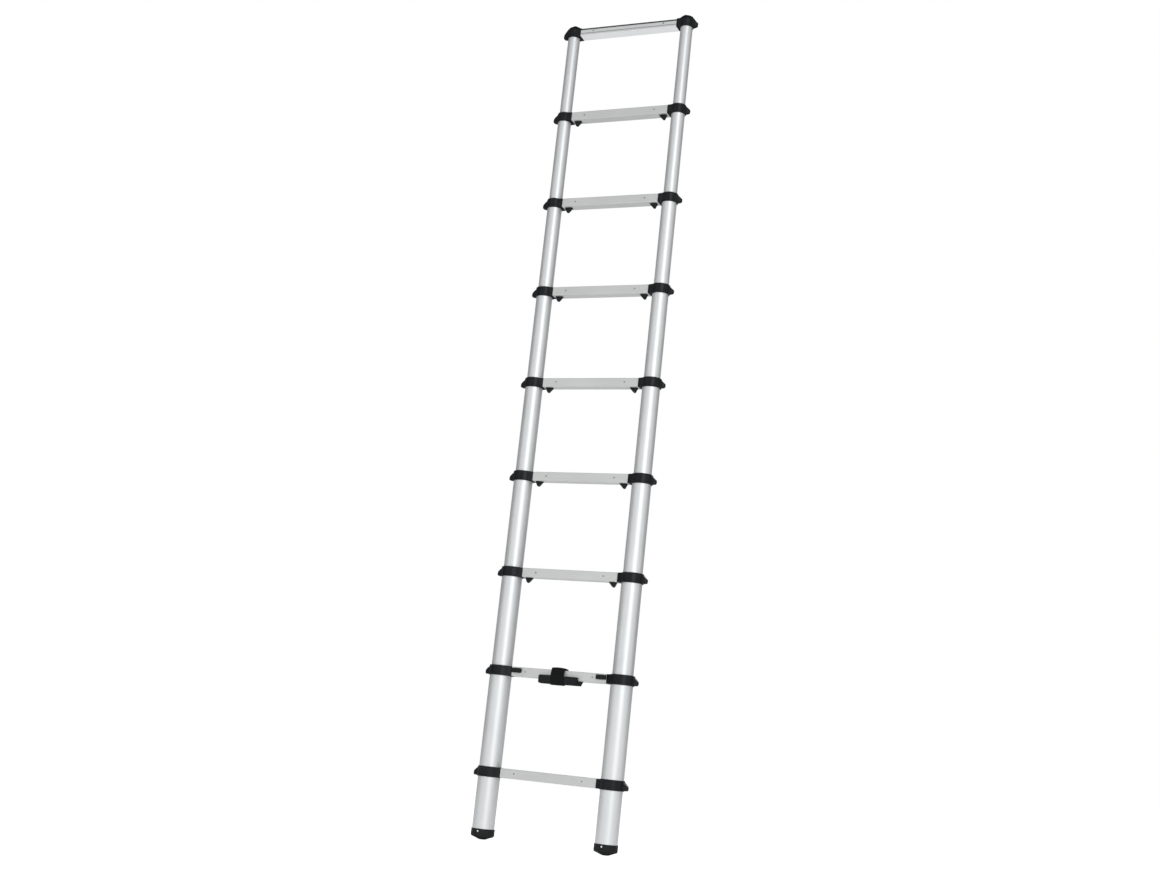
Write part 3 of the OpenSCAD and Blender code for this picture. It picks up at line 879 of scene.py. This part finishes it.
# %% Feet
FOOT_R = high("foot_left", X)
FOOT_H = high("foot_left", Z)
SOLE_RISE = 9 * MM
SOLE_FLAT = 8 * MM
SOLE_CORNER = 4 * MM
TREAD_PITCH = 9.5 * MM
TREAD_HALF = 1.5 * MM
TREAD_DEPTH = 2.5 * MM
RIM_ROUND = 1 * MM
RIB_DEEP = 0.5 * MM
RIB_PITCH = 3.2 * MM
RIB_AT = 14 * MM


def foot():
    """Bore, rim, ribbed side and grooved sole, from inside the cup to the middle of the sole."""
    bore = TUBE_R[1] + BORE_GAP
    inside_z = low("tubes_1", Z) - BORE_GAP
    up = np.linspace(FOOT_H - 2.2 * MM, SOLE_RISE + SOLE_CORNER, 40)
    rib = RIB_DEEP * np.clip(np.cos((up - RIB_AT) / RIB_PITCH * TURN), 0, 1)
    rib = rib * step(up, 10.5 * MM, 12 * MM) * (1 - step(up, 18.5 * MM, 20 * MM))
    side = FOOT_R - RIB_DEEP + rib
    rim_bend = np.linspace(math.pi / 2, 0, 6)
    rim_r = FOOT_R - RIM_ROUND + RIM_ROUND * np.cos(rim_bend)
    rim_z = FOOT_H - RIM_ROUND + RIM_ROUND * np.sin(rim_bend)
    sole_r = np.linspace(FOOT_R - SOLE_CORNER, 0.2 * MM, 110)
    sole_z = SOLE_RISE * np.clip((sole_r - SOLE_FLAT) / (FOOT_R - RIM_ROUND - SOLE_FLAT), 0, 1)
    t = np.linspace(0, 1, 9)[1:-1]
    corner_r = FOOT_R - RIB_DEEP - (SOLE_CORNER - RIB_DEEP) * t * t
    corner_z = (1 - t) ** 2 * up[-1] + 2 * t * (1 - t) * SOLE_RISE + t * t * sole_z[0]
    radii = np.concatenate([[bore, bore], rim_r, side, corner_r, sole_r])
    heights = np.concatenate([[inside_z, FOOT_H - 0.5 * MM], rim_z, up, corner_z, sole_z])
    rings = lathe(radii, heights, 288)
    first_sole = len(radii) - len(sole_r)
    across = abs(rings[first_sole:, :, 1])
    lane = np.round(across / TREAD_PITCH)
    from_lane = abs(across - TREAD_PITCH * lane - TREAD_HALF)
    groove = (1 - step(from_lane, TREAD_HALF - 0.3 * MM, TREAD_HALF + 0.3 * MM)) * (lane > 0)
    rings[first_sole:, :, 2] += TREAD_DEPTH * groove
    return rings


rings = foot()
piece("foot_cup_left", "base", [solid(rings)], black_rubber, ["foot_left"])
piece("foot_cup_right", "base", [solid(mirrored(rings))],
      black_rubber, ["foot_right"])

RIVET_R = 2.4 * MM
RIVET_SINK = 0.6 * MM
RIVET_RIM = 0.2 * MM
RIVET_RISE = 1.0 * MM
RIVET_Z = FOOT_H - 6.5 * MM

places = [(x, -FOOT_R + 0.4 * MM, RIVET_Z) for x in (LEFT, RIGHT)]
heads = [dome_head(place, RIVET_R, RIVET_SINK, RIVET_RIM, RIVET_RISE, 10, 32) for place in places]
piece("foot_rivets", "base", heads, bright_steel)

# %% [markdown]
# ## The carrying strap
#
# When the ladder is pushed together, a strap keeps it closed. Here it is folded up: one length of
# webbing goes to and fro, with a tight bend at each end. Its path is a line of straight runs and
# half circles, and the section carried along it is a thin rectangle with rounded edges. The back
# run is longer than the others: its free end, at the right, is narrower and cut at a slant.

# %% Path and section of the folded webbing
STRAP = "folded_strap"
LAYERS = 6
STRAP_FRONT, STRAP_BACK = low(STRAP, Y), high(STRAP, Y)
LAYER = (STRAP_BACK - STRAP_FRONT) / LAYERS
STRAP_LEFT, STRAP_RIGHT = low(STRAP, X), high(STRAP, X) - 4 * MM
STEP_BACK = 17 * MM
FREE_END_H = 13.5 * MM
SLANT = 6 * MM
LAYER_GAP = 0.2 * MM
EDGE_SPARE = 0.3 * MM
BEND_LENGTH = 5 * MM
BEND_NARROW = 0.22
WANDER = 0.25 * MM
WANDER_LENGTH = 0.031


def to_and_fro():
    """The strap's middle line from above, from the back run to the front run."""
    left, right = STRAP_LEFT + LAYER / 2, STRAP_RIGHT - STEP_BACK - LAYER / 2
    points = []
    for i in range(LAYERS):
        y = STRAP_BACK - LAYER * (i + 0.5)
        start, end = (right, left) if i % 2 == 0 else (left, right)
        start = STRAP_RIGHT if i == 0 else start
        points.append(np.stack([np.linspace(start, end, 90), np.full(90, y)], 1))
        if i < LAYERS - 1:
            side = -1 if i % 2 == 0 else 1
            bend = np.linspace(0, math.pi, 9)[1:-1]
            points.append(np.stack([end + side * LAYER / 2 * np.sin(bend),
                                    y - LAYER / 2 + LAYER / 2 * np.cos(bend)], 1))
    return np.concatenate(points)


def strip_section(width, thickness, count=12):
    """Thin rectangle with half-round edges: offsets across its width and thickness."""
    bend = np.linspace(-math.pi / 2, math.pi / 2, count)
    half = width / 2 - thickness / 2
    top = np.stack([half + thickness / 2 * np.cos(bend), thickness / 2 * np.sin(bend)], 1)
    run = np.linspace(half, -half, 22)[1:-1]
    upper = np.stack([run, np.full(20, thickness / 2)], 1)
    return np.concatenate([top, upper, -top, -upper])


def folded_strap():
    """Carries the strip's section along the path, with its width upright and its ends shaped."""
    path = to_and_fro()
    ahead = np.gradient(path, axis=0)
    ahead /= np.linalg.norm(ahead, axis=1)[:, None]
    sideways = np.stack([-ahead[:, 1], ahead[:, 0]], 1)
    width = high(STRAP, Z) - low(STRAP, Z) - 2 * EDGE_SPARE
    section = strip_section(width, LAYER - LAYER_GAP)
    travelled = np.concatenate([[0], np.cumsum(np.linalg.norm(np.diff(path, axis=0), axis=1))])
    from_left = np.clip(1 - (path[:, 0] - STRAP_LEFT) / BEND_LENGTH, 0, 1)
    rounded = 1 - BEND_NARROW * from_left ** 2
    up = section[None, :, 0] * rounded[:, None] + width / 2
    others_end = STRAP_RIGHT - STEP_BACK
    free_end = step(path[:, 0], others_end - 1.5 * MM, others_end + 1.5 * MM)
    up = up * (1 - (1 - FREE_END_H / width) * free_end[:, None])
    through = section[None, :, 1]
    slant = (1 - up / FREE_END_H) * free_end[:, None] * SLANT
    cut = slant * step(path[:, None, 0], others_end, STRAP_RIGHT)
    x = path[:, None, 0] + sideways[:, None, 0] * through - cut
    y = path[:, None, 1] + sideways[:, None, 1] * through
    wander = WANDER * np.sin(travelled / WANDER_LENGTH + 1.1)
    z = low(STRAP, Z) + EDGE_SPARE + up + wander[:, None]
    return np.stack([x, y, z], -1), float(travelled[-1])


rings, strap_length = folded_strap()
strap_width = high(STRAP, Z) - low(STRAP, Z)
piece("folded_webbing", "base", [solid(rings, uv_size=(strap_length, 2 * strap_width))],
      strap_cloth, [STRAP])
print("webbing folded up:", round(strap_length, 2), "m")

# %% [markdown]
# ## The band
#
# The band is pulled round both the rung and the folded strap. A tight loop round several rounded
# corners is the outline of their hull: in each direction, the corner that reaches furthest. The
# points are then spread evenly along the loop, and the tape's middle rises a little on the top.

# %% Band
BAND = "strap_band"
BAND_T = 1.8 * MM
BAND_GAP = 0.3 * MM
BAND_SHIFT = -2.3 * MM
RUNG_CORNER = 2 * MM
STRAP_CORNER = 0.5 * MM
CROWN_RISE = 1.8 * MM
BAND_LEAN = 0.08
BAND_SKEW = 0.14


def hull_loop(circles, count=240):
    """Outline round circles (y, z, radius), with points evenly spread along it."""
    angle = np.linspace(0, TURN, 1440, endpoint=False)
    facing = np.stack([np.cos(angle), np.sin(angle)], 1)
    circles = np.asarray(circles)
    furthest = (circles[:, :2] @ facing.T + circles[:, 2:]).argmax(0)
    points = circles[furthest, :2] + circles[furthest, 2:] * facing
    closed = np.concatenate([points, points[:1]])
    along = np.concatenate([[0], np.cumsum(np.linalg.norm(np.diff(closed, axis=0), axis=1))])
    even = np.linspace(0, along[-1], count, endpoint=False)
    return np.stack([np.interp(even, along, closed[:, i]) for i in (0, 1)], 1), along[-1]


def band():
    """Carries the tape's section round the loop, bowed outwards a little across its width."""
    half, top = RUNG_D / 2 - RUNG_CORNER, RUNG_H / 2 - RUNG_CORNER
    reach = RUNG_CORNER + BAND_GAP + BAND_T / 2
    tight = STRAP_CORNER + BAND_GAP + BAND_T / 2
    crown = high(BAND, Z) - RUNG_Z[2] - RUNG_CORNER - BAND_GAP - BAND_T
    front, back = STRAP_FRONT + STRAP_CORNER, STRAP_BACK - STRAP_CORNER
    strap_top = high(STRAP, Z) - STRAP_CORNER - RUNG_Z[2]
    strap_low = low(STRAP, Z) + STRAP_CORNER - RUNG_Z[2]
    loop, length = hull_loop([
        (half, crown, reach), (-half, crown, reach), (half, -top, reach),
        (front, strap_top, tight), (front, strap_low, tight), (back, strap_low, tight),
    ])
    ahead = np.roll(loop, -1, 0) - np.roll(loop, 1, 0)
    ahead /= np.linalg.norm(ahead, axis=1)[:, None]
    outwards = np.stack([ahead[:, 1], -ahead[:, 0]], 1)
    section = strip_section(high(BAND, X) - low(BAND, X), BAND_T)
    across = section[None, :, 0]
    bow = 1 - (across / section[:, 0].max()) ** 2
    on_top = step(loop[:, 1], 0.6 * top, crown + reach)[:, None]
    offset = section[None, :, 1] + CROWN_RISE * on_top * bow
    y = loop[:, None, 0] + outwards[:, None, 0] * offset
    z = loop[:, None, 1] + outwards[:, None, 1] * offset
    x = middle(BAND, X) + BAND_SHIFT + across - BAND_LEAN * z - BAND_SKEW * (y - STRAP_FRONT)
    return np.stack([x, y, RUNG_Z[2] + z], -1), length


rings, band_length = band()
band_width = high(BAND, X) - low(BAND, X)
piece("band_loop", "base", [solid(rings, True, uv_size=(band_length, 2 * band_width))],
      band_cloth, [BAND])
print("band round the rung and the strap:", round(band_length, 2), "m")

# %% [markdown]
# ## The white ground
#
# The photograph has a plain white ground. The floor takes shadows like any pale matt wall, and for
# rays that come from the camera, off shiny metal or through glass it also gives a little light of
# its own, so it reads as white without more light on the ladder.

# %% Floor
FLOOR_WHITE = (0.9, 0.9, 0.9, 1)
OWN_LIGHT = 0.8
REACH = 14.0


def looked_at(nodes):
    """1 for rays that show the ground itself: from the camera, a mirror or glass; otherwise 0."""
    kinds = ("Is Camera Ray", "Is Glossy Ray", "Is Transmission Ray")
    seen, mirror, glass = (nodes.node("ShaderNodeLightPath", output=kind) for kind in kinds)
    return seen + mirror + glass


def stage_white():
    """Pale matt paint, with its own light added for the rays that look at it."""
    nodes = Nodes(bpy.data.materials.new("stage_white"))
    paint = nodes.node("ShaderNodeBsdfDiffuse", {}, {"Color": FLOOR_WHITE})
    glow = nodes.node("ShaderNodeEmission", {}, {"Strength": OWN_LIGHT})
    lit = nodes.node("ShaderNodeAddShader", {}, {0: paint, 1: glow})
    mixed = nodes.node("ShaderNodeMixShader", {}, {0: looked_at(nodes), 1: paint, 2: lit})
    nodes.node("ShaderNodeOutputMaterial", {}, {0: mixed})
    return nodes.owner


def stage_plane(name, corners, material):
    """A flat rectangle of the stage."""
    mesh = bpy.data.meshes.new(name)
    mesh.from_pydata(corners, [], [(0, 1, 2, 3)])
    mesh.materials.append(material)
    obj = bpy.data.objects.new(name, mesh)
    bpy.context.scene.collection.objects.link(obj)
    return obj


def level(left, right, front, back, height):
    """Corners of a level rectangle at a height."""
    corners = ((left, front), (right, front), (right, back), (left, back))
    return [(x, y, height) for x, y in corners]


stage_plane("floor", level(-REACH, REACH, -REACH, REACH, 0), stage_white())
print("floor is", 2 * REACH, "m wide")

# %% [markdown]
# ## Cards that only reflections see
#
# White surroundings make metal look flat, because its edges mirror the same white as its front. A
# photographer stands grey cards beside and above the object, out of the picture. Here the cards
# are hidden from the camera, and give no light and no shadow to matt surfaces. The two at the
# sides draw the darker edges of the tubes, and the one above darkens the top caps.

# %% Cards
CARD_TOP = 6.0
ABOVE = 4.6
LEFT_GREY, RIGHT_GREY, ABOVE_GREY = 0.20, 0.24, 0.02


def card(name, corners, grey):
    """A flat card in one shade, which the camera and the lamps don't notice."""
    nodes = Nodes(bpy.data.materials.new(name))
    shade = nodes.node("ShaderNodeEmission", {}, {"Color": (grey, grey, grey, 1)})
    nodes.node("ShaderNodeOutputMaterial", {}, {0: shade})
    obj = stage_plane(name, corners, nodes.owner)
    obj.visible_camera = obj.visible_diffuse = obj.visible_shadow = False
    print(name, "has a shade of", grey)


def standing(start, end):
    """Corners of a card that stands on the floor between two places (x, y)."""
    return [(*start, 0), (*end, 0), (*end, CARD_TOP), (*start, CARD_TOP)]


card("card_left", standing((MID_X - 2.6, -2.0), (MID_X - 2.6, 3.6)), LEFT_GREY)
card("card_right", standing((MID_X + 3.2, 1.0), (MID_X + 0.6, 4.5)), RIGHT_GREY)
card("card_above", level(MID_X - 3, MID_X + 3, -2.4, 5, ABOVE), ABOVE_GREY)

# %% [markdown]
# ## World and lamps
#
# A grey world light fills the shadows, and it too is white for the rays that look at it. The key
# lamp stands at the front and right and draws the bright line down each tube. A weaker lamp on the
# left opens the shaded side, and a low one stands for the light that the floor throws back under
# the rungs. Mirrors don't see those two, so the tubes show one line only.

# %% World and lamps
WORLD_GREY = 0.42
WORLD_COLOUR = (WORLD_GREY, WORLD_GREY, WORLD_GREY * 1.02, 1)
KEY_W, FILL_W, BOUNCE_W = 122, 25, 22


def studio_world():
    """White to the rays that look at it, a soft grey to everything that it lights."""
    nodes = Nodes(bpy.data.worlds.new("studio"))
    soft = nodes.node("ShaderNodeBackground", {}, {"Color": WORLD_COLOUR})
    plain = nodes.node("ShaderNodeBackground", {}, {"Color": (1, 1, 1, 1)})
    mixed = nodes.node("ShaderNodeMixShader", {}, {0: looked_at(nodes), 1: soft, 2: plain})
    nodes.node("ShaderNodeOutputWorld", {}, {0: mixed})
    bpy.context.scene.world = nodes.owner


def softbox(name, place, target, size, watts):
    """A rectangular lamp at a place, turned to face a target."""
    data = bpy.data.lights.new(name, "AREA")
    data.shape = "RECTANGLE"
    data.size, data.size_y = size
    data.energy = watts
    lamp = bpy.data.objects.new(name, data)
    bpy.context.scene.collection.objects.link(lamp)
    lamp.location = place
    lamp.rotation_euler = (Vector(place) - Vector(target)).to_track_quat("Z", "Y").to_euler()
    print(name, "lamp gives", watts, "W")
    return lamp


studio_world()
softbox("key", (MID_X + 3.0, -4.2, 2.8), (MID_X, 0, 1.5), (2.2, 4.8), KEY_W)
fill = softbox("fill", (MID_X - 3.6, -3.0, 2.0), LADDER_MIDDLE, (2.5, 3.0), FILL_W)
bounce = softbox("bounce", (MID_X, -1.6, 0.05), (MID_X, 0, 2.2), (3.0, 1.6), BOUNCE_W)
fill.visible_glossy = bounce.visible_glossy = bounce.visible_camera = False
bpy.context.scene.view_settings.view_transform = "Standard"
